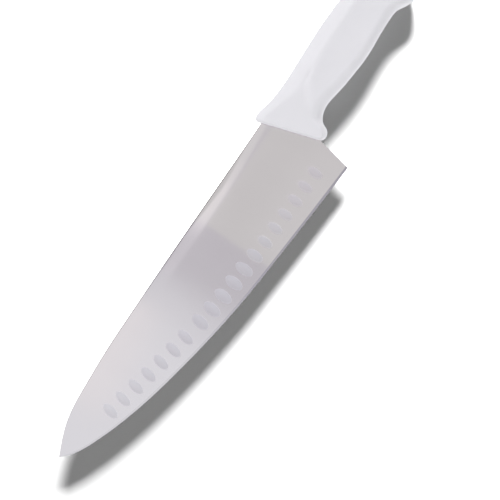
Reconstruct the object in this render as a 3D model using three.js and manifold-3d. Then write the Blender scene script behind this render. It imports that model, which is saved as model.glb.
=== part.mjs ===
// A 254 mm cook's knife for a commercial kitchen, lying on its right side.
//
// It is built the way the real one is made: a stamped and ground stainless blade with a partial tang, a
// ribbed plastic core moulded on to the tang through its holes, and a white grip moulded over the core.
//
// Millimetres, +Z up. The drawing frame has its origin where the spine enters the handle: +X runs to the
// butt, +Y to the spine and Z across the blade, whose middle plane is z = 0. The finished group is shifted
// so that its origin is under the middle of the knife, on the surface that it lies on.

import * as THREE from "three";
import { mergeVertices } from "three/addons/utils/BufferGeometryUtils.js";
import Module from "manifold-3d";

// ---------------------------------------------------------------- driving dimensions

// Blade
const BLADE_LENGTH = 254;
const TIP_Y = -13.8;
const STOCK = 2.5; // thickness of the steel strip
const TIP_STOCK = 1.1; // thickness left at the tip by the distal taper
const TAPER_START_X = -110;
const HEEL = new THREE.Vector2(6.85, -62.9);
const PLATE_END_X = 18.35; // where the back of the blade, hidden in the handle, would meet the spine
const EDGE_BEVEL = 1.3; // height of the sharpened bevel
const SHOULDER_HALF = 0.22; // half thickness where the sharpened bevel starts
const EDGE_HALF = 0.04;
const SPINE_BAND = [3.4, 8.6]; // unground band under the spine: at the handle, and at its widest
const SPINE_BAND_WIDEST_X = -90;

// Hollows ground into the blade's faces
const HOLLOW_DEPTH = 0.15;
const HOLLOW_RUNS = [
  { count: 12, first: -7.8, pitch: 11.1, width: 7.2, length: 13 }, // straight run, counted from the heel
  { count: 7, first: -143.5, pitch: 11.2, width: 6.2, length: 12.2 }, // run round the belly
];

// Handle
const FRONT_FOOT = new THREE.Vector2(11, -37); // low end of the handle's front face
const FRONT_LEAN = 0.325; // millimetres that the front face runs back for each one down
const GRIP_HALF = 10.5; // half thickness at the flat side panels
const BOLSTER_HALF = 7.8; // half thickness of the flared front
const FRONT_FILLET = 1.4;
const FRONT_FLARE = { rise: 0.5, reach: 16 }; // the bolster swells a little towards its front face
const BUTT_ROUND_X = [104, 136.3]; // where the rounding of the butt starts, and the end of the handle
const BUTT_ROUND_POWER = 2.4; // 2 is an ellipse; more makes a blunter end
const BUTT_END_SHARE = 0.01; // share of the thickness left at the very end
const RIDGE_FLAT = 0.45; // share of the half thickness that faces straight up the spine side
const CREASE_PLACE = 0.8; // share of the shoulder's width at which facet and side panel would meet
const FACET_SPAN = [0.16, 0.76]; // the flat part of the facet, as shares of the way from ridge to crease
const PANEL_START = 1.04; // the flat panel starts this many shoulder widths down

// Arched ramp from the bolster up to the side panel, between two parabolas that open towards the butt
const ARCH_FOOT_Y = -25;
const ARCH_TOP_Y = -8;
const ARCH_START = { x: 19, opening: 0.055 };
const ARCH_END = { x: 28, opening: 0.075 };

// Tang and core
const TANG_END_X = 98;
const TANG_START_GAP = 5; // from the handle's front face to the full-thickness tang
const TANG_TOP_Y = -6;
const TANG_FOOT_Y = -28;
const TANG_STRIP_INSET = [3.5, 6.5]; // the strip behind the root is narrower by this, above and below
const TANG_ROOT = 20; // length of the wide root
const TANG_ROOT_BEND = 14;
const TANG_HOLES = [
  { x: 35, y: -16.5, r: 3.6 },
  { x: 60, y: -16, r: 3.6 },
  { x: 84, y: -15.5, r: 3 },
];
const CORE_HALF = 6.3;
const CORE_BEVEL = 1.6;
const CORE_CENTRE = new THREE.Vector2(78, -15);
const CORE_GROOVES = { count: 8, first: 36, pitch: 11, width: 4, depth: 1.4, length: 80 };
const MOULD_GAP = 0.15; // clearance between neighbouring pieces

// Fineness
const BLADE_STATIONS = 64;
const TIP_CROWDING = 0.35; // 1 spaces the stations evenly; less crowds them towards the tip
const HOLLOW_SEGMENTS = 16;
const HANDLE_STATIONS = 64;
const BELLY_SEGMENTS = 6;

// ---------------------------------------------------------------- curves

// A smooth curve y(x) through knots sorted by x. At each knot it has the slope of the parabola through that
// knot and its two neighbours.
function curveThrough(knots) {
  const gap = knots.slice(1).map(([x], i) => x - knots[i][0]);
  const chord = knots.slice(1).map(([, y], i) => (y - knots[i][1]) / gap[i]);
  const slope = knots.map((_, i) => {
    if (i === 0) return chord[0];
    if (i === gap.length) return chord[i - 1];
    return (chord[i - 1] * gap[i] + chord[i] * gap[i - 1]) / (gap[i - 1] + gap[i]);
  });
  return (x) => {
    let i = 0;
    while (i < knots.length - 2 && x > knots[i + 1][0]) i += 1;
    const [x0, y0] = knots[i];
    const [x1, y1] = knots[i + 1];
    const span = x1 - x0;
    const t = (x - x0) / span;
    if (t < 0) return y0 + slope[i] * (x - x0);
    if (t > 1) return y1 + slope[i + 1] * (x - x1);
    const rise = t * t * (3 - 2 * t);
    return y0 + (y1 - y0) * rise + span * t * (1 - t) * (slope[i] * (1 - t) - slope[i + 1] * t);
  };
}

const smoothStep = THREE.MathUtils.smoothstep;

// Outline of the blade: straight spine with a dropped point, and an edge that curves all the way.
const spineY = curveThrough([
  [-BLADE_LENGTH, TIP_Y + 0.1],
  [-244, -9.1],
  [-234, -5.5],
  [-222, -3],
  [-206, -1.6],
  [-180, -0.1],
  [-140, 0.4],
  [0, 0],
  [PLATE_END_X, 0],
]);
const edgeY = curveThrough([
  [-BLADE_LENGTH, TIP_Y - 0.1],
  [-250.5, -17.7],
  [-244, -22.1],
  [-228, -29.3],
  [-200, -38.35],
  [-160, -47.1],
  [-108, -54.9],
  [-56, -59.1],
  [HEEL.x, HEEL.y],
  [PLATE_END_X, HEEL.y - 0.6],
]);
const hollowRowY = curveThrough([
  [-217, -23.1],
  [-178, -31.3],
  [-144, -37.7],
  [-118, -41.8],
  [-74, -45],
  [-2, -47.2],
]);
const spineBand = curveThrough([
  [-BLADE_LENGTH, 0.1],
  [-200, 4],
  [SPINE_BAND_WIDEST_X, SPINE_BAND[1]],
  [-56, 8.3],
  [-25, 6.4],
  [0, SPINE_BAND[0]],
  [PLATE_END_X, SPINE_BAND[0]],
]);

// ---------------------------------------------------------------- solids

const wasm = await Module();
wasm.setup();

function solidOf(geometry) {
  const bare = geometry.clone();
  bare.deleteAttribute("normal");
  bare.deleteAttribute("uv");
  const merged = mergeVertices(bare, 1e-4);
  const mesh = new wasm.Mesh({
    numProp: 3,
    vertProperties: merged.attributes.position.array,
    triVerts: new Uint32Array(merged.index.array),
  });
  return new wasm.Manifold(mesh);
}

function geometryOf(solid) {
  const { numProp, numVert, vertProperties, triVerts } = solid.getMesh();
  const position = new Float32Array(numVert * 3);
  for (let i = 0; i < numVert; i += 1) {
    position.set(vertProperties.subarray(i * numProp, i * numProp + 3), i * 3);
  }
  const geometry = new THREE.BufferGeometry();
  geometry.setAttribute("position", new THREE.BufferAttribute(position, 3));
  geometry.setIndex(new THREE.BufferAttribute(triVerts, 1));
  geometry.computeVertexNormals();
  return geometry;
}

// A closed skin over rings of points. Each ring runs anticlockwise as seen looking back along +X.
function loft(rings) {
  const size = rings[0].length;
  const points = rings.flat();
  const faces = [];
  rings.slice(1).forEach((_, k) => {
    for (let i = 0; i < size; i += 1) {
      const a = k * size + i;
      const b = k * size + ((i + 1) % size);
      faces.push([a, b, a + size], [b, b + size, a + size]);
    }
  });
  const cap = (ring, start, turn) => {
    const hub = points.length;
    const middle = ring.reduce((sum, p) => sum.add(p), new THREE.Vector3()).divideScalar(size);
    points.push(middle);
    for (let i = 0; i < size; i += 1) {
      const pair = [start + i, start + ((i + 1) % size)];
      faces.push(turn ? [hub, pair[1], pair[0]] : [hub, pair[0], pair[1]]);
    }
  };
  cap(rings[0], 0, true);
  cap(rings[rings.length - 1], (rings.length - 1) * size, false);
  const geometry = new THREE.BufferGeometry().setFromPoints(points);
  geometry.setIndex(faces.flat());
  return solidOf(geometry);
}

// A flat plate of a shape in XY, half on each side of z = 0.
function plate(shape, half, bevel = 0) {
  const geometry = new THREE.ExtrudeGeometry(shape, {
    depth: 2 * (half - bevel),
    bevelEnabled: bevel > 0,
    bevelThickness: bevel,
    bevelSize: bevel,
    bevelOffset: -bevel,
    bevelSegments: 2,
    curveSegments: 6,
  });
  geometry.translate(0, 0, bevel - half);
  return solidOf(geometry);
}

// ---------------------------------------------------------------- blade

function stockHalf(x) {
  const taper = smoothStep(-x, -TAPER_START_X, BLADE_LENGTH);
  return THREE.MathUtils.lerp(STOCK, TIP_STOCK, taper) / 2;
}

// The blade's cross-section at x: spine, unground band, ground face and sharpened bevel, on both sides.
function bladeRing(x, grow) {
  const top = spineY(x);
  const depth = top - edgeY(x);
  const half = stockHalf(x) * Math.min(1, 0.25 + depth / 12);
  const grind = top - Math.min(spineBand(x), depth * 0.3);
  const bevel = edgeY(x) + Math.min(EDGE_BEVEL, depth * 0.2);
  const side = [
    [top + grow, half + grow],
    [grind, half + grow],
    [bevel, Math.min(SHOULDER_HALF, half * 0.6) + grow],
    [edgeY(x) - grow, EDGE_HALF + grow],
  ];
  const left = side.map(([y, z]) => new THREE.Vector3(x, y, z));
  const right = side.map(([y, z]) => new THREE.Vector3(x, y, -z)).reverse();
  return [...left, ...right];
}

// The ground plate from the tip to the slanting back of the heel, grown all over by a clearance.
function groundPlate(grow) {
  const end = PLATE_END_X + grow;
  const rings = Array.from({ length: BLADE_STATIONS + 1 }, (_, i) => {
    const t = i / BLADE_STATIONS;
    const fromTip = t * (TIP_CROWDING + (1 - TIP_CROWDING) * t);
    return bladeRing(-BLADE_LENGTH + (end + BLADE_LENGTH) * fromTip, grow);
  });
  const lean = (PLATE_END_X - HEEL.x) / -HEEL.y;
  const reach = 10;
  const cutter = new THREE.Shape([
    new THREE.Vector2(PLATE_END_X + grow + reach * lean, reach),
    new THREE.Vector2(HEEL.x + grow - reach * lean, HEEL.y - reach),
    new THREE.Vector2(PLATE_END_X + reach, HEEL.y - reach),
    new THREE.Vector2(PLATE_END_X + reach, reach),
  ]);
  return loft(rings).subtract(plate(cutter, STOCK));
}

const frontX = (y) => FRONT_FOOT.x + FRONT_LEAN * (FRONT_FOOT.y - y);

// The tang: a wide root in the bolster, then a strip with three holes and a round end.
function tang(grow) {
  const lowStart = frontX(TANG_FOOT_Y) + TANG_START_GAP - grow;
  const highStart = frontX(TANG_TOP_Y) + TANG_START_GAP - grow;
  const root = TANG_TOP_Y + grow;
  const foot = TANG_FOOT_Y - grow;
  const stripTop = root - TANG_STRIP_INSET[0];
  const stripFoot = foot + TANG_STRIP_INSET[1];
  const rootEnd = lowStart + TANG_ROOT;
  const radius = (stripTop - stripFoot) / 2;
  const shape = new THREE.Shape();
  shape.moveTo(lowStart, foot);
  shape.quadraticCurveTo(lowStart + TANG_ROOT_BEND, foot, rootEnd, stripFoot);
  shape.lineTo(TANG_END_X + grow - radius, stripFoot);
  shape.absarc(TANG_END_X + grow - radius, stripFoot + radius, radius, -Math.PI / 2, Math.PI / 2);
  shape.lineTo(rootEnd, stripTop);
  shape.lineTo(highStart, root);
  TANG_HOLES.forEach(({ x, y, r }) => {
    shape.holes.push(new THREE.Path().absarc(x, y, r - grow, 0, 2 * Math.PI));
  });
  return plate(shape, STOCK / 2 + grow);
}

// A shallow dish, sunk into one face at x, that leaves an oval hollow of the stated size.
function hollowCutter(x, { width, length }, side) {
  const y = hollowRowY(x);
  const [, grind, bevel] = bladeRing(x, 0);
  const share = (y - bevel.y) / (grind.y - bevel.y);
  const faceZ = THREE.MathUtils.lerp(bevel.z, grind.z, share);
  const faceTilt = Math.atan2(grind.z - bevel.z, grind.y - bevel.y);
  const rowSlope = (hollowRowY(x + 1) - hollowRowY(x - 1)) / 2;
  const dish = [0, 0.5, 0.8, 1, 1.25].map((r) => new THREE.Vector2(r, HOLLOW_DEPTH * (r * r - 1)));
  const top = new THREE.Vector2(0, dish[dish.length - 1].y);
  const geometry = new THREE.LatheGeometry([...dish, top], HOLLOW_SEGMENTS);
  geometry.rotateX(Math.PI / 2);
  geometry.scale(width / 2, length / 2, 1);
  geometry.rotateZ(Math.atan(rowSlope));
  geometry.rotateX(faceTilt);
  geometry.translate(x, y, faceZ);
  if (side > 0) return solidOf(geometry);
  return solidOf(flipped(geometry.scale(1, 1, -1)));
}

function flipped(geometry) {
  const index = Array.from(geometry.index.array);
  for (let i = 0; i < index.length; i += 3) [index[i], index[i + 1]] = [index[i + 1], index[i]];
  return geometry.clone().setIndex(index);
}

function bladeWithTang() {
  let solid = groundPlate(0).add(tang(0));
  [1, -1].forEach((side) => {
    HOLLOW_RUNS.forEach((run) => {
      const stagger = side > 0 ? 0 : -run.pitch / 2;
      for (let i = 0; i < run.count; i += 1) {
        solid = solid.subtract(hollowCutter(run.first - i * run.pitch + stagger, run, side));
      }
    });
  });
  return solid;
}

// ---------------------------------------------------------------- handle

// Paired points down the handle's side view, from the front face to the butt: one on the ridge along the
// top, one on the underside. The sections of the handle run between them.
const STATIONS = [
  { ridge: [-1.7, 3], under: [11, -36.8] }, // front face
  { ridge: [-0.6, 4.9], under: [12.5, -39.2] },
  { ridge: [4, 5.3], under: [15.8, -40] }, // guard
  { ridge: [10, 4], under: [19.2, -38] },
  { ridge: [17, 2.8], under: [22.4, -32.6] },
  { ridge: [30, 2.2], under: [30.5, -29] }, // neck
  { ridge: [52, 3], under: [52, -31.2] },
  { ridge: [73, 3.6], under: [73, -32.6] }, // belly
  { ridge: [95, 3], under: [97, -31.2] },
  { ridge: [108, 2.2], under: [108.5, -31.6] },
  { ridge: [119, 0.7], under: [116, -35.4] },
  { ridge: [128, -2.6], under: [121.6, -37.2] }, // hook of the butt
  { ridge: [133.8, -7.8], under: [128.8, -31.5] },
  { ridge: [136, -12.6], under: [134.7, -21] },
  { ridge: [BUTT_ROUND_X[1], -15.6], under: [BUTT_ROUND_X[1], -15.8] },
];
function rail(side) {
  const points = STATIONS.map((station) => new THREE.Vector3(...station[side], 0));
  return new THREE.CatmullRomCurve3(points, false, "centripetal");
}
const ridgeRail = rail("ridge");
const underRail = rail("under");

// Width of the facet beside the ridge, and height of the round along the underside.
const shoulderWidth = curveThrough([
  [0, 6],
  [16, 7.6],
  [32, 12.4],
  [44, 12.6],
  [60, 11.4],
  [90, 10],
  [136, 7],
]);
const bellyRound = curveThrough([
  [14, 3],
  [18, 5],
  [22, 8],
  [34, 8],
  [46, 7],
  [136, 7.2],
]);

// Half thickness of the handle at a point of its side view: a flared front, a ramp up to the flat grip
// panels that runs in an arc behind the guard, a fillet at the front face and a rounded butt.
function handleHalf(x, y) {
  const upArch = (Math.min(y, ARCH_TOP_Y) - ARCH_FOOT_Y) ** 2;
  const rampStart = ARCH_START.x + ARCH_START.opening * upArch;
  const rampEnd = ARCH_END.x + ARCH_END.opening * upArch;
  const flare = FRONT_FLARE.rise * (1 - smoothStep(x - frontX(y), 0, FRONT_FLARE.reach));
  const front = BOLSTER_HALF + flare;
  const body = front + (GRIP_HALF - front) * smoothStep(x, rampStart, rampEnd);
  const depth = Math.max(0, (x - frontX(y)) / Math.hypot(1, FRONT_LEAN));
  const short = Math.max(0, FRONT_FILLET - depth);
  const fillet = FRONT_FILLET - Math.sqrt(FRONT_FILLET ** 2 - short ** 2);
  const past = THREE.MathUtils.clamp((x - BUTT_ROUND_X[0]) / (BUTT_ROUND_X[1] - BUTT_ROUND_X[0]), 0, 1);
  return (body - fillet) * Math.max(BUTT_END_SHARE, Math.sqrt(1 - past ** BUTT_ROUND_POWER));
}

// A quadratic curve that rounds off a corner.
function bend(start, corner, end, segments) {
  return new THREE.QuadraticBezierCurve(start, corner, end).getPoints(segments);
}

// One side of a section, from the ridge to the underside: a narrow flat on the ridge, a facet, a crease, the
// flat side panel and the round belly. In each point x is the distance down and y the share of the half
// thickness.
function sectionSide(height, shoulder, belly) {
  const ridgeCorner = new THREE.Vector2(0, RIDGE_FLAT);
  const crease = new THREE.Vector2(CREASE_PLACE * shoulder, 1);
  const facetStart = ridgeCorner.clone().lerp(crease, FACET_SPAN[0]);
  const facetEnd = ridgeCorner.clone().lerp(crease, FACET_SPAN[1]);
  const panelStart = new THREE.Vector2(PANEL_START * shoulder, 1);
  const ridgeEdge = new THREE.Vector2(0, RIDGE_FLAT - FACET_SPAN[0]);
  const ridge = bend(ridgeEdge, ridgeCorner, facetStart, 3);
  const turn = bend(facetEnd, crease, panelStart, 4);
  const panel = [0.33, 0.67].map((share) => {
    return new THREE.Vector2(THREE.MathUtils.lerp(panelStart.x, height - belly, share), 1);
  });
  const round = Array.from({ length: BELLY_SEGMENTS + 1 }, (_, i) => {
    const angle = (i / BELLY_SEGMENTS) * (Math.PI / 2);
    return new THREE.Vector2(height - belly + belly * Math.sin(angle), Math.cos(angle));
  });
  return [new THREE.Vector2(0, 0), ...ridge, ...turn, ...panel, ...round];
}

function handleRing(t) {
  const ridge = ridgeRail.getPoint(t);
  const under = underRail.getPoint(t);
  const height = ridge.distanceTo(under);
  const down = under.clone().sub(ridge).normalize();
  const shoulder = Math.min(shoulderWidth(ridge.x), height * 0.42);
  const belly = Math.min(bellyRound(under.x), height * 0.4);
  const side = sectionSide(height, shoulder, belly).map(({ x: along, y: share }) => {
    const p = ridge.clone().addScaledVector(down, along);
    return new THREE.Vector3(p.x, p.y, share * handleHalf(p.x, p.y));
  });
  const mirrored = side.slice(1, -1).reverse().map((p) => new THREE.Vector3(p.x, p.y, -p.z));
  return [...side, ...mirrored];
}

// The station parameter crowds towards the front fillet and the butt.
function handleBody() {
  const rings = Array.from({ length: HANDLE_STATIONS + 1 }, (_, i) => {
    const t = i / HANDLE_STATIONS;
    return handleRing(0.5 - 0.5 * Math.cos(Math.PI * t) * (1 - 0.35 * Math.sin(Math.PI * t) ** 2));
  });
  return loft(rings);
}

// The core fills the middle of the handle behind the guard. Grooves across its sides key it into the grip.
function core(grow) {
  const outline = new THREE.SplineCurve([
    new THREE.Vector2(28, -5),
    new THREE.Vector2(60, -2.6),
    new THREE.Vector2(100, -3.2),
    new THREE.Vector2(122, -8),
    new THREE.Vector2(128, -16),
    new THREE.Vector2(121, -28),
    new THREE.Vector2(104, -26.6),
    new THREE.Vector2(72, -27.4),
    new THREE.Vector2(44, -25.4),
    new THREE.Vector2(29, -24.2),
  ]).getPoints(36);
  const outward = (p) => p.clone().sub(CORE_CENTRE).normalize();
  const grown = outline.map((p) => p.clone().addScaledVector(outward(p), grow));
  let solid = plate(new THREE.Shape(grown), CORE_HALF + grow, CORE_BEVEL);
  const { count, first, pitch, width, depth, length } = CORE_GROOVES;
  for (let i = 0; i < count; i += 1) {
    [1, -1].forEach((side) => {
      const groove = new THREE.BoxGeometry(width - 2 * grow, length, depth * 2);
      groove.translate(first + i * pitch, CORE_CENTRE.y, side * (CORE_HALF + grow));
      solid = solid.subtract(solidOf(groove));
    });
  }
  return solid;
}

// ---------------------------------------------------------------- the knife

const steel = new THREE.MeshStandardMaterial({ color: 0xc9c6c8, roughness: 0.25, metalness: 1 });
const greyPlastic = new THREE.MeshStandardMaterial({ color: 0xb9bcc0, roughness: 0.6, metalness: 0 });
const whitePlastic = new THREE.MeshStandardMaterial({ color: 0xe8e7ec, roughness: 0.4, metalness: 0 });

function piece(name, solid, material) {
  const mesh = new THREE.Mesh(geometryOf(solid), material);
  mesh.name = name;
  return mesh;
}

const slot = groundPlate(MOULD_GAP).add(tang(MOULD_GAP));
const knife = new THREE.Group();
knife.add(
  piece("blade_with_tang", bladeWithTang(), steel),
  piece("handle_core", core(0).subtract(tang(MOULD_GAP)), greyPlastic),
  piece("handle_grip", handleBody().subtract(core(MOULD_GAP)).subtract(slot), whitePlastic),
);

// The origin goes under the middle of the knife, on the surface it lies on.
const extent = new THREE.Box3().setFromObject(knife);
const middle = extent.getCenter(new THREE.Vector3());
knife.position.set(-middle.x, -middle.y, -extent.min.z);

export default knife;
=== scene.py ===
"""A white-handled cook's knife, lying on its right side on a pale studio floor, seen from straight above.

The visual meshes repeat the design of the CAD part at a finer mesh. Shapes are worked out in the part's
drawing frame, in millimetres: the origin is where the spine enters the handle, +X runs to the butt, +Y to
the spine and z = 0 is the blade's middle plane. place() turns that into the row frame, in metres.
"""

import math

import bpy
import numpy as np
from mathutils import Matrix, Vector


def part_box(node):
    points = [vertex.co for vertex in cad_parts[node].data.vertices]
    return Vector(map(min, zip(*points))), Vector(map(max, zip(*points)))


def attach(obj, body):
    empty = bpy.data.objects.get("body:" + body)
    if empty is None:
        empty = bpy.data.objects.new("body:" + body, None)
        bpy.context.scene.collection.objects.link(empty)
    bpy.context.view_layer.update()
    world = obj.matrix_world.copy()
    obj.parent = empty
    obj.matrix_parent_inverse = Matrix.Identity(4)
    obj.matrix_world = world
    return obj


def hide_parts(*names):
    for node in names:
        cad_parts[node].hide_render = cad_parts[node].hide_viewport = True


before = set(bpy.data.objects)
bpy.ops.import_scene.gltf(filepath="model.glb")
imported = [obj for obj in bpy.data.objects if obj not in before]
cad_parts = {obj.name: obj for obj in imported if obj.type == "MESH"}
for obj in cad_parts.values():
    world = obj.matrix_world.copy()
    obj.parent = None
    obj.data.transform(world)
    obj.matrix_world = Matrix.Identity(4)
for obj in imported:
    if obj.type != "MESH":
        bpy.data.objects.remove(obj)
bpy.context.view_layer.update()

MM = 0.001

# ---------------------------------------------------------------- driving dimensions, mm

# Blade
BLADE_LENGTH = 254
TIP_Y = -13.8
TIP_BLUNT = 0.1  # the tip ends in an edge twice as high as this
STOCK = 2.5
TIP_STOCK = 1.1
TAPER_START_X = -110
HEEL = (6.85, -62.9)
PLATE_END_X = 18.35  # where the slanting back of the heel, hidden in the handle, would meet the spine
EDGE_BEVEL = 1.3  # height of the sharpened bevel
SHOULDER_HALF = 0.22  # half thickness where the bevel starts
EDGE_HALF = 0.04
SPINE_BAND = (3.4, 8.6)  # height of the unground band at the handle and where it is widest
SPINE_BAND_WIDEST_X = -90
SPINE_EASE = 0.2  # radius of the eased corners along the spine
SPINE_EASE_ANGLES = (0, 30, 60)  # places round that radius, in degrees
SPINE_ROLL = 0.055  # slope at the spine where polishing rolls the face off
GRIND_BLEND = 2.2  # half width over which the band turns into the ground face

# Near the tip everything shrinks with the height of the blade
FULL_STOCK_DEPTH = 9  # the blade has its full thickness where it is higher than this
THINNEST_SHARE = 0.25
BAND_SHARE = 0.3
BEVEL_SHARE = 0.2
SHOULDER_SHARE = 0.6  # the bevel's shoulder is at most this share of the thickness

# Hollows
HOLLOW_DEPTH = 0.15
HOLLOW_RUNS = [
    {"count": 12, "first": -7.8, "pitch": 11.1, "width": 7.2, "length": 13.0},
    {"count": 7, "first": -143.5, "pitch": 11.2, "width": 6.2, "length": 12.2},
]
HOLLOW_RIM = 1.3  # 1 is a plain dish; more eases the rim
HOLLOW_MATT = (0.92, 0.55)  # share of a hollow that is fully matt, towards the tip and at the heel
HOLLOW_MATT_END = 1.06  # the matt finish ends just outside the rim
HOLLOW_FADE_X = (-88, -58)  # where that share goes from the one to the other
HOLLOW_BAND = 8.5  # half height of the finely meshed band that the hollows lie in

# Handle
FRONT_FOOT = (11, -37)
FRONT_LEAN = 0.325
FRONT_FLARE = (0.5, 16)  # extra half thickness at the front face, and how far back it fades out
GRIP_HALF = 10.5
BOLSTER_HALF = 7.8
FRONT_FILLET = 1.4
BUTT_ROUND_X = (104, 136.3)
BUTT_ROUND_POWER = 2.4
BUTT_END_SHARE = 0.01  # share of the half thickness that is left at the very end

# A section of the handle
RIDGE_FLAT = 0.45  # share of the half thickness that faces straight up the spine side
RIDGE_BEND = 0.16  # how far the bend at the ridge reaches, as shares of the half thickness and the facet
CREASE_PLACE = 0.8  # the crease, in shoulder widths from the ridge
FACET_END = 0.76  # share of the way to the crease where the facet starts to bend
PANEL_START = 1.04  # the side panel starts this many shoulder widths down
SHOULDER_LIMIT = 0.42  # greatest shares of the section's height
BELLY_LIMIT = 0.4
PANEL_DISH = 0.45  # the side panels are slightly dished between crease and belly
PANEL_DISH_X = (26, 44, 92, 118)  # where the dish starts, is full, starts to fade and ends

# Arched ramp from the bolster up to the side panel, between two parabolas that open towards the butt
ARCH_FOOT_Y = -25
ARCH_TOP_Y = -8
ARCH_START = (19, 0.055)  # least x, and how fast the parabola opens
ARCH_END = (28, 0.075)

# Tang
TANG_END_X = 98
TANG_START_GAP = 5
TANG_TOP_Y = -6
TANG_FOOT_Y = -28
TANG_STRIP_INSET = (3.5, 6.5)  # how far the strip's top and foot lie inside the root's
TANG_ROOT_FOOT = [(0, 0), (8, 0.6), (15, 3)]  # how the root's foot runs back and up from its front corner
TANG_ROOT = 20  # length of the root along its foot
TANG_HOLES = [(35, -16.5, 3.6), (60, -16, 3.6), (84, -15.5, 3)]
MOULD_GAP = 0.15  # clearance between the steel and the grip

# Where the drawing frame's origin lies in the row frame
LOW_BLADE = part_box("blade_with_tang")[0]
ORIGIN = Vector((LOW_BLADE.x + BLADE_LENGTH * MM, LOW_BLADE.y - HEEL[1] * MM, GRIP_HALF * MM))

# ---------------------------------------------------------------- curves


def curve_through(knots):
    """A smooth curve y(x) with, at each knot, the slope of the parabola through it and its neighbours."""
    xs, ys = np.array(knots, float).T
    gap = np.diff(xs)
    chord = np.diff(ys) / gap
    inner = (chord[:-1] * gap[1:] + chord[1:] * gap[:-1]) / (gap[:-1] + gap[1:])
    slope = np.concatenate(([chord[0]], inner, [chord[-1]]))

    def at(x):
        x = np.asarray(x, float)
        i = np.clip(np.searchsorted(xs, x) - 1, 0, len(gap) - 1)
        t = (x - xs[i]) / gap[i]
        rise = t * t * (3 - 2 * t)
        bend = gap[i] * t * (1 - t) * (slope[i] * (1 - t) - slope[i + 1] * t)
        inside = ys[i] + (ys[i + 1] - ys[i]) * rise + bend
        before = ys[i] + slope[i] * (x - xs[i])
        after = ys[i + 1] + slope[i + 1] * (x - xs[i + 1])
        return np.where(t < 0, before, np.where(t > 1, after, inside))

    return at


def smooth_step(x, low, high):
    t = np.clip((x - low) / (high - low), 0, 1)
    return t * t * (3 - 2 * t)


def lerp(a, b, t):
    return a + (b - a) * t


spine_y = curve_through([
    (-BLADE_LENGTH, TIP_Y + TIP_BLUNT),
    (-244, -9.1),
    (-234, -5.5),
    (-222, -3),
    (-206, -1.6),
    (-180, -0.1),
    (-140, 0.4),
    (0, 0),
    (PLATE_END_X, 0),
])
edge_y = curve_through([
    (-BLADE_LENGTH, TIP_Y - TIP_BLUNT),
    (-250.5, -17.7),
    (-244, -22.1),
    (-228, -29.3),
    (-200, -38.35),
    (-160, -47.1),
    (-108, -54.9),
    (-56, -59.1),
    HEEL,
    (PLATE_END_X, HEEL[1] - 0.6),
])
hollow_row_y = curve_through([
    (-217, -23.1),
    (-178, -31.3),
    (-144, -37.7),
    (-118, -41.8),
    (-74, -45),
    (-2, -47.2),
])
spine_band = curve_through([
    (-BLADE_LENGTH, 0.1),
    (-200, 4),
    (SPINE_BAND_WIDEST_X, SPINE_BAND[1]),
    (-56, 8.3),
    (-25, 6.4),
    (0, SPINE_BAND[0]),
    (PLATE_END_X, SPINE_BAND[0]),
])
spine_roll_reach = curve_through([  # how far down from the spine the rolled-off strip runs
    (-BLADE_LENGTH, 0.8),
    (-110, 2.0),
    (-82, 1.8),
    (-66, 3.6),
    (-50, 4.9),
    (-36, 3.4),
    (-20, 1.1),
    (0, 0.8),
    (PLATE_END_X, 0.8),
])

# ---------------------------------------------------------------- mesh helpers


def place(points):
    """Drawing frame in millimetres to row frame in metres."""
    return np.asarray(points, float) * MM + np.array(ORIGIN)


def mesh_object(name, points, faces, smooth_angle=30):
    mesh = bpy.data.meshes.new(name)
    mesh.from_pydata(place(points).tolist(), [], faces)
    mesh.validate()
    mesh.shade_smooth()
    mesh.set_sharp_from_angle(angle=math.radians(smooth_angle))
    piece = bpy.data.objects.new(name, mesh)
    bpy.context.scene.collection.objects.link(piece)
    return piece


def ring_faces(count, size):
    """Quads between neighbouring rings, each ring anticlockwise as seen looking back along +X."""
    faces = []
    for k in range(count - 1):
        for i in range(size):
            a = k * size + i
            b = k * size + (i + 1) % size
            faces.append((a, b, b + size, a + size))
    return faces


def ladder_faces(start, size, turn):
    """Closes a ring whose second half runs back beside its first half, rung by rung."""
    faces = []
    for i in range(size // 2 - 1):
        rung = (start + i, start + i + 1, start + size - 2 - i, start + size - 1 - i)
        faces.append(rung if turn else rung[::-1])
    return faces


# ---------------------------------------------------------------- blade

COLUMNS = 760
TIP_CROWDING = 0.8  # 1 spreads the columns evenly; less crowds them towards the tip
SPINE_ROWS = 20
GROUND_ROWS = 28
HOLLOW_ROWS = 54
FOOT_ROWS = 8
BAND_START_LIMITS = (0.05, 0.7)  # where the band with the hollows may start, as shares of the ground face
BAND_LEAST = 0.1  # least height of that band, as such a share
BAND_END_LIMIT = 0.97  # where it ends at the latest
BEVEL_ROWS = 3
LEAN_ROUNDS = 4  # rounds that settle where a leaning column meets a row
BLADE_SMOOTH_ANGLE = 25  # edges between faces that turn less than this many degrees look smooth


def stock_half(x):
    return lerp(STOCK, TIP_STOCK, smooth_step(-x, -TAPER_START_X, BLADE_LENGTH)) / 2


def blade_lines(x):
    """At each x: the spine, grind line, shoulder of the sharpened bevel and edge, then the half thicknesses
    of the stock and of the shoulder."""
    top = spine_y(x)
    edge = edge_y(x)
    depth = top - edge
    half = stock_half(x) * np.minimum(1, lerp(THINNEST_SHARE, 1, depth / FULL_STOCK_DEPTH))
    grind = top - np.minimum(spine_band(x), depth * BAND_SHARE)
    shoulder = edge + np.minimum(EDGE_BEVEL, depth * BEVEL_SHARE)
    return top, grind, shoulder, edge, half, np.minimum(SHOULDER_HALF, half * SHOULDER_SHARE)


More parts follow.
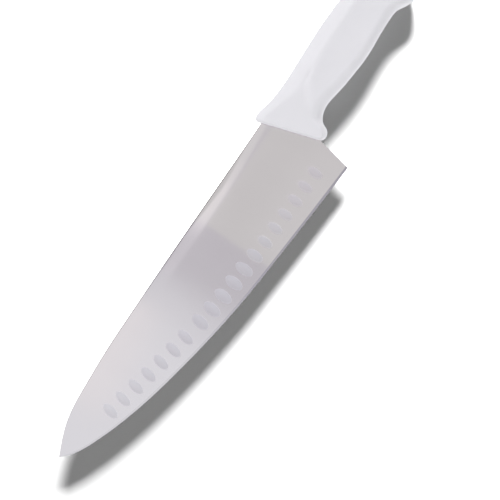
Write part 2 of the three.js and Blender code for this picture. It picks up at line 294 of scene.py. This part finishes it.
def hollows(side):
    """Centre, turn and half sizes of each hollow in one face of the blade."""
    found = []
    for run in HOLLOW_RUNS:
        stagger = 0 if side > 0 else -run["pitch"] / 2
        for i in range(run["count"]):
            x = run["first"] - i * run["pitch"] + stagger
            slope = float(hollow_row_y(x + 1) - hollow_row_y(x - 1)) / 2
            found.append((x, float(hollow_row_y(x)), math.atan(slope), run["width"] / 2, run["length"] / 2))
    return found


def hollow_dish(x, y, side):
    """Depth of the hollows at each point, and how far inside a hollow it is, from 0 to 1."""
    depth = np.zeros_like(x)
    inside = np.zeros_like(x)
    for cx, cy, turn, half_width, half_length in hollows(side):
        across = (x - cx) * math.cos(turn) + (y - cy) * math.sin(turn)
        along = (y - cy) * math.cos(turn) - (x - cx) * math.sin(turn)
        r = np.hypot(across / half_width, along / half_length)
        matt = lerp(*HOLLOW_MATT, smooth_step(cx, *HOLLOW_FADE_X))
        depth += HOLLOW_DEPTH * np.clip(1 - r * r, 0, 1)**HOLLOW_RIM
        inside += 1 - smooth_step(r, matt, HOLLOW_MATT_END)
    return depth, inside


def blended(distance):
    """Distance past the grind line, eased in over the blend."""
    eased = (distance + GRIND_BLEND)**2 / (4 * GRIND_BLEND)
    return np.where(distance < -GRIND_BLEND, 0, np.where(distance > GRIND_BLEND, distance, eased))


def face_shares(grind, shoulder, row_y):
    """Where the ground face's rows lie, as shares of it. They are closest in the band with the hollows."""
    face = grind - shoulder
    first = np.clip((grind - row_y - HOLLOW_BAND) / face, *BAND_START_LIMITS)
    last = np.clip((grind - row_y + HOLLOW_BAND) / face, first + BAND_LEAST, BAND_END_LIMIT)
    shares = [first * i / GROUND_ROWS for i in range(GROUND_ROWS)]
    shares += [lerp(first, last, i / HOLLOW_ROWS) for i in range(HOLLOW_ROWS)]
    shares += [lerp(last, 1, i / FOOT_ROWS) for i in range(FOOT_ROWS)]
    return shares


def blade_rows(x):
    """Rows of a blade face from the spine to the edge, each as (y, half thickness, finish) at each x. The
    finish is 0 on the band along the spine, 1 on the ground face and 2 on the sharpened bevel."""
    top, grind, shoulder, edge, half, shoulder_half = blade_lines(x)
    rows = []
    for angle in SPINE_EASE_ANGLES:
        dip = SPINE_EASE * (1 - math.sin(math.radians(angle)))
        pull = SPINE_EASE * (1 - math.cos(math.radians(angle)))
        rows.append((top - pull, half - dip))
    band_top = top - SPINE_EASE
    for i in range(SPINE_ROWS):
        rows.append((lerp(band_top, grind, i / SPINE_ROWS), half))
    reach = spine_roll_reach(x)
    roll = SPINE_ROLL * reach / 2
    rows = [(y, z - roll * np.clip(1 - (top - y) / reach, 0, 1)**2) for y, z in rows]
    rows += [(lerp(grind, shoulder, share), half) for share in face_shares(grind, shoulder, hollow_row_y(x))]
    slope = (half - shoulder_half) / (grind - shoulder)
    graded = []
    for y, z in rows:
        past = grind - y
        graded.append((y, z - slope * blended(past), smooth_step(past, -GRIND_BLEND, GRIND_BLEND)))
    for i in range(BEVEL_ROWS + 1):
        t = i / BEVEL_ROWS
        graded.append((lerp(shoulder, edge, t), lerp(shoulder_half, EDGE_HALF, t), np.full_like(x, 2)))
    return graded


def heel_lean(y):
    """How far the slanting back of the heel lies before PLATE_END_X at the height y."""
    return (PLATE_END_X - HEEL[0]) * np.clip(y / HEEL[1], 0, 1)


def blade_side(x_columns, side):
    """Points and finish of one face, rows by columns. The columns come to lean like the heel's back."""
    along = (x_columns + BLADE_LENGTH) / (PLATE_END_X + BLADE_LENGTH)
    points = []
    finish = []
    count = len(blade_rows(x_columns[:1]))
    for k in range(count):
        x = x_columns
        for _ in range(LEAN_ROUNDS):
            y = blade_rows(x)[k][0]
            x = x_columns - heel_lean(y) * along
        y, z, kind = blade_rows(x)[k]
        dish, inside = hollow_dish(x, y, side)
        z = z - dish
        points.append(np.stack([x, y, z * side], axis=1))
        finish.append(np.stack([kind, inside], axis=1))
    return np.array(points), np.array(finish)


def build_blade(steel):
    t = np.linspace(0, 1, COLUMNS + 1)
    from_tip = t * lerp(TIP_CROWDING, 1, t)
    x_columns = -BLADE_LENGTH + (PLATE_END_X + BLADE_LENGTH) * from_tip
    left, left_finish = blade_side(x_columns, 1)
    right, right_finish = blade_side(x_columns, -1)
    rings = np.concatenate([left, right[::-1]]).transpose(1, 0, 2)
    finish = np.concatenate([left_finish, right_finish[::-1]]).transpose(1, 0, 2)
    kind, inside = finish.reshape(-1, 2).T
    count, size = rings.shape[:2]
    faces = ring_faces(count, size)
    faces += ladder_faces(0, size, True)
    faces += ladder_faces((count - 1) * size, size, False)
    blade = mesh_object("blade", rings.reshape(-1, 3), faces, BLADE_SMOOTH_ANGLE)
    for name, values in (
        ("ground", np.clip(kind, 0, 1)),
        ("hollow", inside),
        ("bevel", np.clip(kind - 1, 0, 1)),
    ):
        layer = blade.data.attributes.new(name, "FLOAT", "POINT")
        layer.data.foreach_set("value", values.astype(np.float32))
    blade.data.materials.append(steel)
    return blade


# ---------------------------------------------------------------- tang

END_POINTS = 24
HOLE_POINTS = 40


def front_x(y):
    """The handle's leaning front face."""
    return FRONT_FOOT[0] + FRONT_LEAN * (FRONT_FOOT[1] - y)


def tang_outline():
    """The tang's side view: a root in the bolster that curves into a strip with a round end."""
    low = front_x(TANG_FOOT_Y) + TANG_START_GAP
    high = front_x(TANG_TOP_Y) + TANG_START_GAP
    strip_top = TANG_TOP_Y - TANG_STRIP_INSET[0]
    strip_foot = TANG_FOOT_Y + TANG_STRIP_INSET[1]
    middle = (strip_top + strip_foot) / 2
    radius = (strip_top - strip_foot) / 2
    outline = [(low + back, TANG_FOOT_Y + up) for back, up in TANG_ROOT_FOOT]
    outline.append((low + TANG_ROOT, strip_foot))
    for i in range(END_POINTS + 1):
        angle = math.pi * (i / END_POINTS - 0.5)
        outline.append((TANG_END_X - radius + radius * math.cos(angle), middle + radius * math.sin(angle)))
    outline += [(low + TANG_ROOT, strip_top), (high, TANG_TOP_Y)]
    return outline


def build_tang(steel):
    """The tang is a flat plate with three holes, drawn as a filled curve."""
    loops = [tang_outline()]
    for x, y, r in TANG_HOLES:
        turns = [math.tau * i / HOLE_POINTS for i in range(HOLE_POINTS)]
        loops.append([(x + r * math.cos(a), y + r * math.sin(a)) for a in turns])
    curve = bpy.data.curves.new("tang_outline", "CURVE")
    curve.dimensions = "2D"
    curve.fill_mode = "BOTH"
    curve.extrude = STOCK / 2 * MM
    for loop in loops:
        spline = curve.splines.new("POLY")
        spline.points.add(len(loop) - 1)
        spline.use_cyclic_u = True
        for point, (x, y) in zip(spline.points, loop):
            point.co = (x * MM, y * MM, 0, 1)
    holder = bpy.data.objects.new("tang_curve", curve)
    bpy.context.scene.collection.objects.link(holder)
    bpy.context.view_layer.update()
    mesh = bpy.data.meshes.new_from_object(holder.evaluated_get(bpy.context.evaluated_depsgraph_get()))
    bpy.data.objects.remove(holder)
    bpy.data.curves.remove(curve)
    mesh.name = "tang"
    for vertex in mesh.vertices:
        vertex.co += ORIGIN
    mesh.materials.clear()
    mesh.materials.append(steel)
    tang = bpy.data.objects.new("tang", mesh)
    bpy.context.scene.collection.objects.link(tang)
    return tang


# ---------------------------------------------------------------- grip

# The handle's sections, each by its ends on the ridge and on the underside
STATIONS = [
    ((-1.7, 3), (11, -36.8)),  # front face
    ((-0.6, 4.9), (12.5, -39.2)),
    ((4, 5.3), (15.8, -40)),  # guard
    ((10, 4), (19.2, -38)),
    ((17, 2.8), (22.4, -32.6)),
    ((30, 2.2), (30.5, -29)),  # neck
    ((52, 3), (52, -31.2)),
    ((73, 3.6), (73, -32.6)),  # belly
    ((95, 3), (97, -31.2)),
    ((108, 2.2), (108.5, -31.6)),
    ((119, 0.7), (116, -35.4)),
    ((128, -2.6), (121.6, -37.2)),  # hook of the butt
    ((133.8, -7.8), (128.8, -31.5)),
    ((136, -12.6), (134.7, -21)),
    ((BUTT_ROUND_X[1], -15.6), (BUTT_ROUND_X[1], -15.8)),
]
GRIP_STATIONS = 260
END_CROWDING = 0.35  # rings are closer together at the front and the butt
RIDGE_POINTS = 6
FACET_POINTS = 8
CREASE_POINTS = 10
PANEL_POINTS = 12
BELLY_POINTS = 18
GRIP_SMOOTH_ANGLE = 40
SLOT_SECTIONS = (-8, 4)  # x of the slot cutter's sections before its last, the first outside the handle

# How far the shoulder reaches down from the ridge, at each x of the ridge, and how far the rounding of the
# belly reaches up from the underside, at each x of the underside
shoulder_width = curve_through([(0, 6), (16, 7.6), (32, 12.4), (44, 12.6), (60, 11.4), (90, 10), (136, 7)])
belly_round = curve_through([(14, 3), (18, 5), (22, 8), (34, 8), (46, 7), (136, 7.2)])


def rail(which):
    """A centripetal Catmull-Rom curve through one end of each station, as a function of t from 0 to 1."""
    knots = np.array([station[which] for station in STATIONS], float)
    padded = np.vstack([2 * knots[0] - knots[1], knots, 2 * knots[-1] - knots[-2]])
    times = np.sqrt(np.linalg.norm(np.diff(padded, axis=0), axis=1))

    def at(t):
        place_on_rail = t * (len(knots) - 1)
        i = min(int(place_on_rail), len(knots) - 2)
        share = place_on_rail - i
        p0, p1, p2, p3 = padded[i:i + 4]
        d0, d1, d2 = times[i:i + 3]
        start = ((p1 - p0) / d0 - (p2 - p0) / (d0 + d1) + (p2 - p1) / d1) * d1
        end = ((p2 - p1) / d1 - (p3 - p1) / (d1 + d2) + (p3 - p2) / d2) * d1
        a = 2 * p1 - 2 * p2 + start + end
        b = -3 * p1 + 3 * p2 - 2 * start - end
        return ((a * share + b) * share + start) * share + p1

    return at


ridge_rail = rail(0)
under_rail = rail(1)


def handle_half(x, y):
    """Half thickness of the handle: flared front, arched ramp, side panels, fillet and rounded butt."""
    up_arch = (np.minimum(y, ARCH_TOP_Y) - ARCH_FOOT_Y)**2
    ramp = smooth_step(x, ARCH_START[0] + ARCH_START[1] * up_arch, ARCH_END[0] + ARCH_END[1] * up_arch)
    flare = FRONT_FLARE[0] * (1 - smooth_step(x - front_x(y), 0, FRONT_FLARE[1]))
    body = BOLSTER_HALF + flare + (GRIP_HALF - BOLSTER_HALF - flare) * ramp
    depth = np.maximum(0, (x - front_x(y)) / math.hypot(1, FRONT_LEAN))
    short = np.maximum(0, FRONT_FILLET - depth)
    fillet = FRONT_FILLET - np.sqrt(FRONT_FILLET**2 - short**2)
    past = np.clip((x - BUTT_ROUND_X[0]) / (BUTT_ROUND_X[1] - BUTT_ROUND_X[0]), 0, 1)
    return (body - fillet) * np.maximum(BUTT_END_SHARE, np.sqrt(1 - past**BUTT_ROUND_POWER))


def bend(start, corner, end, count):
    """A quadratic curve that rounds off a corner."""
    t = np.linspace(0, 1, count)[:, None]
    return (1 - t)**2 * np.array(start) + 2 * t * (1 - t) * np.array(corner) + t**2 * np.array(end)


def section_side(height, shoulder, belly, dish):
    """One side of a section, from the ridge down, as (distance down, share of the half thickness)."""
    ridge_corner = np.array((0, RIDGE_FLAT))
    crease = np.array((CREASE_PLACE * shoulder, 1))
    panel_start = PANEL_START * shoulder
    facet_start = lerp(ridge_corner, crease, RIDGE_BEND)
    facet_end = lerp(ridge_corner, crease, FACET_END)
    ridge = bend((0, RIDGE_FLAT - RIDGE_BEND), ridge_corner, facet_start, RIDGE_POINTS)
    facet = lerp(facet_start, facet_end, np.linspace(0, 1, FACET_POINTS)[1:-1, None])
    turn = bend(facet_end, crease, (panel_start, 1), CREASE_POINTS)
    share = np.linspace(0, 1, PANEL_POINTS + 1)[1:-1]
    panel = np.stack([lerp(panel_start, height - belly, share), 1 - dish * 4 * share * (1 - share)], axis=1)
    angle = np.linspace(0, math.pi / 2, BELLY_POINTS)
    round_off = np.stack([height - belly + belly * np.sin(angle), np.cos(angle)], axis=1)
    return np.vstack([[(0, 0)], ridge, facet, turn, panel, round_off])


def grip_ring(t):
    """The section at t along the rails, down the left side and back up the right."""
    ridge = ridge_rail(t)
    under = under_rail(t)
    height = np.linalg.norm(under - ridge)
    down = (under - ridge) / height
    shoulder = min(float(shoulder_width(ridge[0])), height * SHOULDER_LIMIT)
    belly = min(float(belly_round(under[0])), height * BELLY_LIMIT)
    start, full, fade, end = PANEL_DISH_X
    dished = smooth_step(ridge[0], start, full) * (1 - smooth_step(ridge[0], fade, end))
    along, share = section_side(height, shoulder, belly, dished * PANEL_DISH / GRIP_HALF).T
    x = ridge[0] + down[0] * along
    y = ridge[1] + down[1] * along
    side = np.stack([x, y, share * handle_half(x, y)], axis=1)
    mirrored = side[1:-1][::-1] * (1, 1, -1)
    return np.vstack([side, mirrored])


def slot_cutter():
    """The blade's own section, grown by the mould clearance, through the handle's front face. It ends at the
    slanting back of the heel."""
    x = np.array([*SLOT_SECTIONS, PLATE_END_X + MOULD_GAP])
    last = np.array([0, 0, 1])
    top, grind, shoulder, edge, half, shoulder_half = blade_lines(x)
    side = []
    for y, z in (
        (top + MOULD_GAP, half + MOULD_GAP),
        (grind, half + MOULD_GAP),
        (shoulder, shoulder_half + MOULD_GAP),
        (edge - MOULD_GAP, np.full_like(x, EDGE_HALF + MOULD_GAP)),
    ):
        side.append(np.stack([x - heel_lean(y) * last, y, z], axis=1))
    side = np.array(side)
    rings = np.concatenate([side, side[::-1] * (1, 1, -1)]).transpose(1, 0, 2)
    count, size = rings.shape[:2]
    faces = ring_faces(count, size)
    faces += ladder_faces(0, size, True)
    faces += ladder_faces((count - 1) * size, size, False)
    return mesh_object("slot_cutter", rings.reshape(-1, 3), faces)


def build_grip(plastic):
    t = np.linspace(0, 1, GRIP_STATIONS + 1)
    t = 0.5 - 0.5 * np.cos(math.pi * t) * (1 - END_CROWDING * np.sin(math.pi * t)**2)
    rings = np.array([grip_ring(float(share)) for share in t])
    count, size = rings.shape[:2]
    faces = ring_faces(count, size)
    faces.append(tuple(range(size))[::-1])
    faces.append(tuple(range((count - 1) * size, count * size)))
    grip = mesh_object("grip", rings.reshape(-1, 3), faces, GRIP_SMOOTH_ANGLE)
    cutter = slot_cutter()
    cut = grip.modifiers.new("slot", "BOOLEAN")
    cut.operation = "DIFFERENCE"
    cut.solver = "EXACT"
    cut.object = cutter
    bpy.context.view_layer.update()
    graph = bpy.context.evaluated_depsgraph_get()
    cut_mesh = bpy.data.meshes.new_from_object(grip.evaluated_get(graph))
    grip.modifiers.clear()
    grip.data = cut_mesh
    grip.data.shade_smooth()
    grip.data.set_sharp_from_angle(angle=math.radians(GRIP_SMOOTH_ANGLE))
    bpy.data.objects.remove(cutter)
    grip.data.materials.clear()
    grip.data.materials.append(plastic)
    return grip


# ---------------------------------------------------------------- materials


class Nodes:
    """Short names for making and joining the nodes of one material."""

    def __init__(self, name):
        self.material = bpy.data.materials.new(name)
        self.material.use_nodes = True
        self.tree = self.material.node_tree
        self.shader = self.tree.nodes["Principled BSDF"]

    def add(self, kind, **settings):
        node = self.tree.nodes.new(kind)
        for key, value in settings.items():
            setattr(node, key, value)
        return node

    def link(self, source, target):
        self.tree.links.new(source, target)

    def position(self, stretch):
        """Object coordinates in metres, multiplied along each axis."""
        place_node = self.add("ShaderNodeTexCoord")
        scaled = self.add("ShaderNodeVectorMath", operation="MULTIPLY")
        scaled.inputs[1].default_value = stretch
        self.link(place_node.outputs["Object"], scaled.inputs[0])
        return scaled.outputs["Vector"]

    def noise(self, stretch, detail=2.0, rough=0.5):
        node = self.add("ShaderNodeTexNoise")
        node.inputs["Scale"].default_value = 1.0
        node.inputs["Detail"].default_value = detail
        node.inputs["Roughness"].default_value = rough
        self.link(self.position(stretch), node.inputs["Vector"])
        return node.outputs["Fac"]

    def along_x(self, low, high):
        """0 to 1 between two places along X, in metres of the row frame."""
        apart = self.add("ShaderNodeSeparateXYZ")
        self.link(self.position((1, 1, 1)), apart.inputs["Vector"])
        share = self.add("ShaderNodeMapRange")
        share.inputs["From Min"].default_value = low
        share.inputs["From Max"].default_value = high
        self.link(apart.outputs["X"], share.inputs["Value"])
        return share.outputs["Result"]

    def mix_colour(self, share, a, b):
        """Mixes two sockets that carry colours."""
        node = self.add("ShaderNodeMix", data_type="RGBA")
        for socket, value in zip(node.inputs[:1] + node.inputs[6:8], (share, a, b)):
            self.link(value, socket)
        return node.outputs[2]

    def attribute(self, name):
        return self.add("ShaderNodeAttribute", attribute_name=name).outputs["Fac"]

    def vary(self, base, value, amount):
        """The base, moved by up to half the amount either way as the value goes from 0 to 1."""
        return self.math("ADD", base, self.math("MULTIPLY", self.math("SUBTRACT", value, 0.5), amount))

    def math(self, operation, a, b):
        node = self.add("ShaderNodeMath", operation=operation)
        for socket, value in zip(node.inputs, (a, b)):
            if isinstance(value, (int, float)):
                socket.default_value = value
            else:
                self.link(value, socket)
        return node.outputs["Value"]

    def mix(self, share, a, b):
        """Mixes two numbers, or two sockets that carry numbers."""
        node = self.add("ShaderNodeMix", data_type="FLOAT")
        for socket, value in zip(node.inputs[:1] + node.inputs[2:4], (share, a, b)):
            if isinstance(value, (int, float)):
                socket.default_value = value
            else:
                self.link(value, socket)
        return node.outputs[0]

    def ramp(self, value, stops):
        """A colour ramp over a number, with stops as (position, colour)."""
        node = self.add("ShaderNodeValToRGB")
        elements = node.color_ramp.elements
        while len(elements) < len(stops):
            elements.new(0.5)
        for element, (position, colour) in zip(elements, stops):
            element.position = position
            element.color = (*colour, 1)
        self.link(value, node.inputs["Fac"])
        return node.outputs["Color"]

    def bump(self, height, strength, distance, under=None):
        node = self.add("ShaderNodeBump")
        node.inputs["Strength"].default_value = strength
        node.inputs["Distance"].default_value = distance
        self.link(height, node.inputs["Height"])
        if under is not None:
            self.link(under, node.inputs["Normal"])
        return node.outputs["Normal"]


def satin_steel():
    """Steel with fine grinding lines from spine to edge, and lengthways ones in the unground band. Point
    attributes say where it is ground, hollowed and sharpened. The hollows' colour carries a painted
    reflection, lighter towards the tip, and the bevel's colour a painted shade, darker towards the heel."""
    n = Nodes("satin_steel")
    shader = n.shader
    shader.inputs["Metallic"].default_value = 1.0
    ground = n.attribute("ground")
    bevel = n.attribute("bevel")
    hollow = n.attribute("hollow")
    lines = n.mix(ground, n.noise((90, 4200, 900), detail=3), n.noise((5200, 130, 900), detail=3))
    broad = n.noise((34, 10, 0), detail=2)
    mottle = n.math("ADD", n.math("MULTIPLY", lines, 0.5), n.math("MULTIPLY", broad, 0.5))
    colour = n.ramp(mottle, [(0.3, (0.635, 0.597, 0.643)), (0.7, (0.665, 0.627, 0.673))])
    painted_hollow_sheen = n.along_x(ORIGIN.x - 0.21, ORIGIN.x - 0.02)  # the hollows keep their own bluish tint, painted lighter towards the tip as a painted reflection
    hollow_tint_and_sheen = n.ramp(n.vary(painted_hollow_sheen, lines, 0.2), [
        (0.0, (0.757, 0.721, 0.783)),
        (0.77, (0.669, 0.635, 0.714)),
        (1.0, (0.684, 0.634, 0.724)),
    ])
    painted_bevel_shade = n.along_x(ORIGIN.x - 0.16, ORIGIN.x - 0.05)  # the bevel is painted darker towards the heel: painted shade for the dark surroundings it mirrors
    bevel_painted_shade_colour = n.ramp(painted_bevel_shade, [(0.0, (0.60, 0.57, 0.61)), (1.0, (0.41, 0.39, 0.46))])
    colour = n.mix_colour(hollow, colour, hollow_tint_and_sheen)
    # the sharpened bevel gets its painted shade
    colour = n.mix_colour(bevel, colour, bevel_painted_shade_colour)
    n.link(colour, shader.inputs["Base Color"])
    rough = n.mix(ground, 0.10, 0.12)
    rough = n.mix(hollow, rough, 0.42)
    rough = n.mix(bevel, rough, 0.18)
    n.link(n.vary(rough, lines, 0.08), shader.inputs["Roughness"])
    n.link(n.bump(lines, 0.12, 0.00001), shader.inputs["Normal"])
    return n.material


def white_plastic():
    """Moulded white polypropylene with a fine spark-eroded grain."""
    n = Nodes("white_plastic")
    shader = n.shader
    mottle = n.noise((60, 60, 60), detail=3)
    colour = n.ramp(mottle, [(0.3, (0.735, 0.728, 0.765)), (0.7, (0.750, 0.743, 0.780))])
    n.link(colour, shader.inputs["Base Color"])
    grain = n.noise((2600, 2600, 2600), detail=2)
    waves = n.noise((70, 70, 70), detail=1)
    n.link(n.math("ADD", 0.36, n.math("MULTIPLY", grain, 0.12)), shader.inputs["Roughness"])
    soft = n.bump(waves, 0.12, 0.0004)
    n.link(n.bump(grain, 0.25, 0.00003, soft), shader.inputs["Normal"])
    shader.inputs["IOR"].default_value = 1.49
    return n.material


def core_plastic():
    """Grey moulding with flow marks, hidden inside the grip."""
    n = Nodes("core_plastic")
    flow = n.noise((120, 30, 30), detail=4)
    colour = n.ramp(flow, [(0.3, (0.46, 0.47, 0.49)), (0.7, (0.56, 0.57, 0.59))])
    n.link(colour, n.shader.inputs["Base Color"])
    n.link(n.math("ADD", 0.45, n.math("MULTIPLY", flow, 0.2)), n.shader.inputs["Roughness"])
    n.link(n.bump(flow, 0.2, 0.0001), n.shader.inputs["Normal"])
    return n.material


def floor_material():
    """Matt, pale and even."""
    n = Nodes("pale_floor")
    n.shader.inputs["Base Color"].default_value = (0.9, 0.9, 0.9, 1)
    n.shader.inputs["Roughness"].default_value = 0.9
    n.shader.inputs["Specular IOR Level"].default_value = 0.1
    return n.material


# ---------------------------------------------------------------- studio

OVERHEAD = 0.12  # radiance of the room above
HORIZON = 1.15  # and at the horizon
HORIZON_TOP = 0.26  # sine of the elevation where the pale horizon has faded out

SHADOW_LAMP_TOWARDS = (36.6, 24.3)  # degrees round from the butt towards the spine side, degrees up
SHADOW_LAMP_REACH = 1.0
SHADOW_LAMP_SIZE = 0.54
SHADOW_LAMP_RADIANCE = 155
SHADOW_FILL = 0.095

# Softboxes for the handle: degrees round and degrees up, as above, and radiance
HANDLE_LIGHTS = [
    (0, 90, 1.3),
    (0, 15, 2.87),
    (45, 35, 3.97),
    (90, 35, 4.05),
    (180, 35, 4.52),
    (270, 35, 4.75),
]
HANDLE_LIGHT_SIZE = 0.6
HANDLE_LIGHT_REACH = 1.2

# Panels in a ring round the knife, so that its steel has something pale to mirror from every side
RING_PANELS = 6
RING_REACH = 1.5
RING_HEIGHTS = (0.2, 1.4)
RING_RADIANCE = 0.5

# The camera looks straight down and is turned by this angle, so the butt is at the picture's upper right
PICTURE_TURN = math.radians(-55.7)
PICTURE_CENTRE = (-73.1, -40.4)  # drawing frame, mm, in the blade's middle plane
FIELD = 0.325  # metres seen from side to side
CAMERA_HEIGHT = 1.3
SENSOR = 0.036
CLIP = (0.01, 50)
FLOOR_HALF = 12
DOWN = Vector((0, 0, -1))


def make_camera():
    """Makes the camera and returns the point in the blade's middle plane that it looks at."""
    data = bpy.data.cameras.new("camera")
    data.sensor_width = SENSOR / MM
    data.lens = SENSOR * CAMERA_HEIGHT / FIELD / MM
    data.clip_start, data.clip_end = CLIP
    camera = bpy.data.objects.new("camera", data)
    centre = ORIGIN + Vector((*PICTURE_CENTRE, 0)) * MM
    camera.location = centre + Vector((0, 0, CAMERA_HEIGHT))
    camera.rotation_euler = (0, 0, PICTURE_TURN)
    bpy.context.scene.collection.objects.link(camera)
    bpy.context.scene.camera = camera
    return centre


def make_floor():
    mesh = bpy.data.meshes.new("floor")
    corners = [(-1, -1), (1, -1), (1, 1), (-1, 1)]
    mesh.from_pydata([(x * FLOOR_HALF, y * FLOOR_HALF, 0) for x, y in corners], [], [(0, 1, 2, 3)])
    floor = bpy.data.objects.new("floor", mesh)
    mesh.materials.append(floor_material())
    bpy.context.scene.collection.objects.link(floor)
    return floor


def only_on(light, lit):
    """The light shines on these objects alone."""
    group = bpy.data.collections.new(light.name + "_lit")
    for thing in lit:
        group.objects.link(thing)
    light.light_linking.receiver_collection = group


def softbox(name, place_at, aim, size, radiance, colour=(1, 1, 1), shape="RECTANGLE"):
    """A lit panel, or with the shape ELLIPSE a round one, of even radiance."""
    fill = math.pi / 4 if shape == "ELLIPSE" else 1
    data = bpy.data.lights.new(name, "AREA")
    data.shape = shape
    data.size, data.size_y = size
    data.energy = radiance * math.pi * size[0] * size[1] * fill
    data.color = colour
    light = bpy.data.objects.new(name, data)
    light.location = place_at
    light.rotation_euler = (Vector(aim) - Vector(place_at)).to_track_quat("-Z", "Y").to_euler()
    light.visible_camera = False
    bpy.context.scene.collection.objects.link(light)
    return light


def direction(azimuth, elevation):
    """Unit vector, from degrees round from the butt towards the spine side and degrees up."""
    around = math.radians(azimuth)
    up = math.radians(elevation)
    return Vector((math.cos(around) * math.cos(up), math.sin(around) * math.cos(up), math.sin(up)))


def light_floor(centre, floor, knife):
    """A low round lamp throws the soft shadow. It stands beyond the butt, so the shadow grows longer towards
    the tip. A fill without a shadow sets how dark it is, and the knife and the floor bounce no light at each
    other, so that it stays even."""
    below = Vector((centre.x, centre.y, 0))
    lamp_at = below + direction(*SHADOW_LAMP_TOWARDS) * SHADOW_LAMP_REACH
    size = (SHADOW_LAMP_SIZE, SHADOW_LAMP_SIZE)
    lamp = softbox("shadow_lamp", lamp_at, lamp_at + DOWN, size, SHADOW_LAMP_RADIANCE, shape="ELLIPSE")
    fill_data = bpy.data.lights.new("shadow_fill", "SUN")
    fill_data.energy = SHADOW_FILL * math.pi
    fill_data.use_shadow = False
    fill = bpy.data.objects.new("shadow_fill", fill_data)
    bpy.context.scene.collection.objects.link(fill)
    for light in (lamp, fill):
        only_on(light, [floor])
    for thing in (floor, *knife):
        thing.visible_diffuse = False
    floor.visible_glossy = False


def make_world():
    """Dim overhead, white at the horizon, as in a studio with a white cove."""
    world = bpy.data.worlds.new("studio")
    world.use_nodes = True
    tree = world.node_tree
    towards = tree.nodes.new("ShaderNodeTexCoord")
    height = tree.nodes.new("ShaderNodeSeparateXYZ")
    shade = tree.nodes.new("ShaderNodeValToRGB")
    stops = ((0, HORIZON), (HORIZON_TOP, OVERHEAD))
    for element, (position, level) in zip(shade.color_ramp.elements, stops):
        element.position = position
        element.color = (level, level, level, 1)
    tree.links.new(towards.outputs["Generated"], height.inputs["Vector"])
    tree.links.new(height.outputs["Z"], shade.inputs["Fac"])
    tree.links.new(shade.outputs["Color"], tree.nodes["Background"].inputs["Color"])
    bpy.context.scene.world = world


def card(name, centre, height, x_range, y_range, radiance, colour=(1, 1, 1)):
    """A panel facing down. Its ranges say which part of the blade's plane mirrors it, in metres from the
    centre of the picture, so a panel higher up is made larger to match."""
    spread = 1 + height / CAMERA_HEIGHT
    x_low, x_high = (x * spread for x in x_range)
    y_low, y_high = (y * spread for y in y_range)
    middle = centre + Vector(((x_low + x_high) / 2, (y_low + y_high) / 2, height))
    return softbox(name, middle, middle + DOWN, (x_high - x_low, y_high - y_low), radiance, colour)


def light_blade(centre, blade):
    """Panels that the camera sees mirrored in the steel. Each has its own height, as panels that overlap at
    one height don't add up."""
    panels = [
        card("tent", centre, 0.6, (-0.8, 0.8), (-0.3, 0.095), 0.635),
        card("tip_card", centre, 0.8, (-0.6, -0.045), (-0.6, 0.6), 0.20, (0.875, 1, 0.936)),
        card("far_tip_card", centre, 1.0, (-0.6, -0.072), (-0.6, 0.6), 0.143, (0.875, 1, 0.936)),
        card("warm_card", centre, 0.55, (-0.15, -0.07), (0.006, 0.2), 0.068, (1, 0.5, 0.18)),
        card("heel_card", centre, 0.06, (-0.0025, 0.6), (-0.6, 0.031), 0.096, (0.885, 1, 0.48)),
        card("heel_band_card", centre, 0.2, (-0.0025, 0.6), (0.031, 0.6), 0.096, (0.885, 1, 0.48)),
        card("low_heel_card", centre, 0.5, (0, 0.6), (-0.6, -0.01), 0.04),
        card("spine_card", centre, 0.35, (-0.045, 0.09), (0.0285, 0.048), 0.125),
        card("streak_card", centre, 0.32, (-0.010, 0.028), (0.0285, 0.048), 0.11, (1, 0.97, 0.9)),
        card("long_streak_card", centre, 0.30, (-0.007, 0.044), (0.0285, 0.048), 0.08, (1, 0.97, 0.9)),
    ]
    for panel in panels:
        only_on(panel, [blade])


def light_blade_sides(centre, blade):
    """Upright panels in a ring, which the steel mirrors when it is seen from the side."""
    width = 2 * RING_REACH * math.tan(math.pi / RING_PANELS)
    low, high = RING_HEIGHTS
    for i in range(RING_PANELS):
        outward = direction(i * 360 / RING_PANELS, 0) * RING_REACH
        middle = centre + outward + Vector((0, 0, (low + high) / 2))
        panel = softbox(f"ring_panel_{i}", middle, middle - outward, (width, high - low), RING_RADIANCE)
        only_on(panel, [blade])


def light_handle(centre, grip):
    """Softboxes above and round the knife, aimed at the middle of the picture, for the handle alone."""
    for azimuth, elevation, radiance in HANDLE_LIGHTS:
        name = f"handle_light_{azimuth}_{elevation}"
        place_at = centre + direction(azimuth, elevation) * HANDLE_LIGHT_REACH
        light = softbox(name, place_at, centre, (HANDLE_LIGHT_SIZE, HANDLE_LIGHT_SIZE), radiance)
        only_on(light, [grip])


def light_studio(centre, floor, blade, grip):
    make_world()
    light_floor(centre, floor, (blade, grip))
    light_blade(centre, blade)
    light_blade_sides(centre, blade)
    light_handle(centre, grip)
    bpy.context.scene.view_settings.view_transform = "Standard"


# ---------------------------------------------------------------- the knife

steel = satin_steel()
blade = build_blade(steel)
tang = build_tang(steel)
grip = build_grip(white_plastic())
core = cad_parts["handle_core"]
core.data.materials.clear()
core.data.materials.append(core_plastic())

for piece, node, slot in (
    (blade, "blade_with_tang", "steel"),
    (tang, "blade_with_tang", "steel"),
    (grip, "handle_grip", "grip_plastic"),
):
    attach(piece, "root")
    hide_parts(node)

centre = make_camera()
floor = make_floor()
light_studio(centre, floor, blade, grip)
